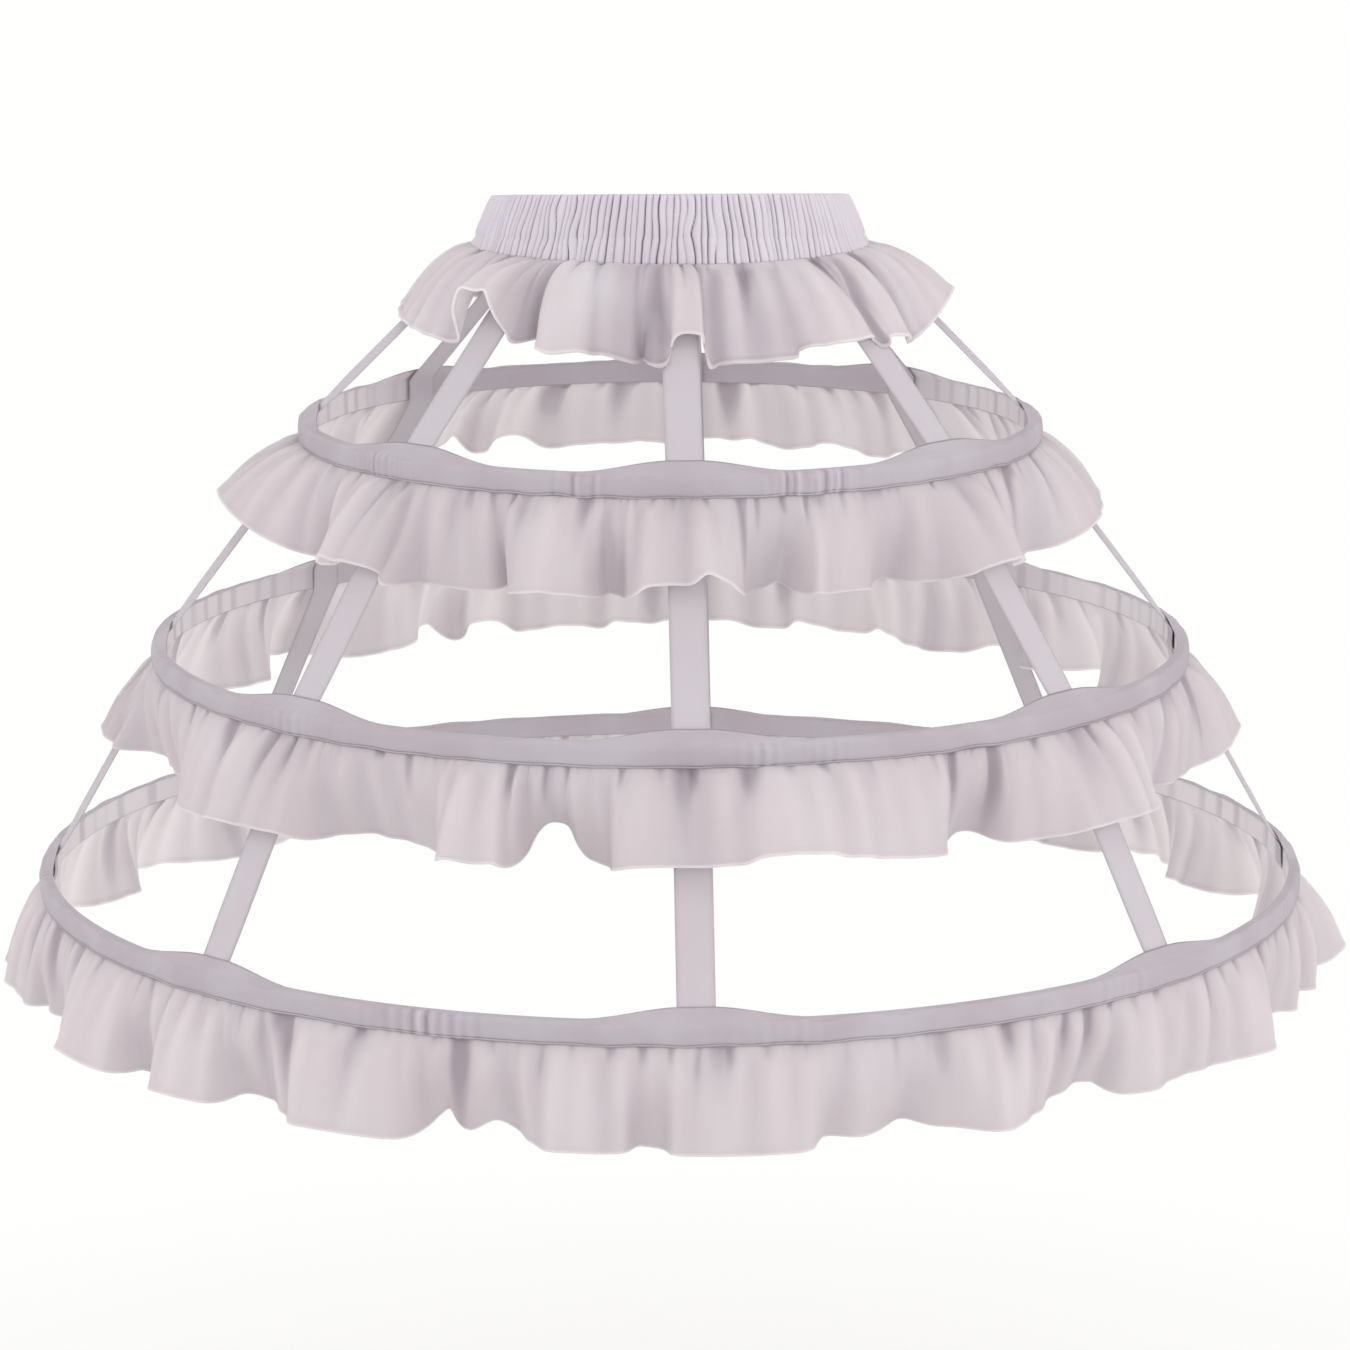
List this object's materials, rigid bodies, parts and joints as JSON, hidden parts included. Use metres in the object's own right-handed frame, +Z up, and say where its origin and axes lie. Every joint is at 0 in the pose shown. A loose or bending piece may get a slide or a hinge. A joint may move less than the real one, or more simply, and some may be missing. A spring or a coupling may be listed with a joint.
{
  "type": "crinoline cage",
  "caption": "Tiered underskirt cage of hoops in cloth casings, hung on flat tapes from a gathered elastic waistband, with a frill under the waist and each hoop.",
  "frame": {"origin": "middle of the waist opening, on the waistband's axis, at mid height of the elastic", "axes": "+Z up along the waist axis, front faces -Y, +X to the viewer's right"},
  "size_m": [0.8539, 0.8378, 0.5018],
  "materials": {
    "cloth": "plain-weave white cloth, gathered",
    "frill_cloth": "thin plain-weave white cloth",
    "casing_cloth": "plain-weave white cloth, stitched",
    "tape_cloth": "woven white tape",
    "elastic": "woven elastic",
    "boning": "smooth white strip",
    "joiner_plastic": "smooth clear-white sleeve"
  },
  "bodies": {
    "root": {"waistband": "cloth", "waist_elastic": "elastic", "waist_frill": "frill_cloth", "upper_casing": "casing_cloth", "upper_bone": "boning", "upper_joiner": "joiner_plastic", "upper_frill": "frill_cloth", "middle_casing": "casing_cloth", "middle_bone": "boning", "middle_joiner": "joiner_plastic", "middle_frill": "frill_cloth", "lower_casing": "casing_cloth", "lower_bone": "boning", "lower_joiner": "joiner_plastic", "lower_frill": "frill_cloth", "front_tape": "tape_cloth", "front_right_tape": "tape_cloth", "right_tape": "tape_cloth", "back_right_tape": "tape_cloth", "back_tape": "tape_cloth", "back_left_tape": "tape_cloth", "left_tape": "tape_cloth", "front_left_tape": "tape_cloth"}
  },
  "joints": []
}
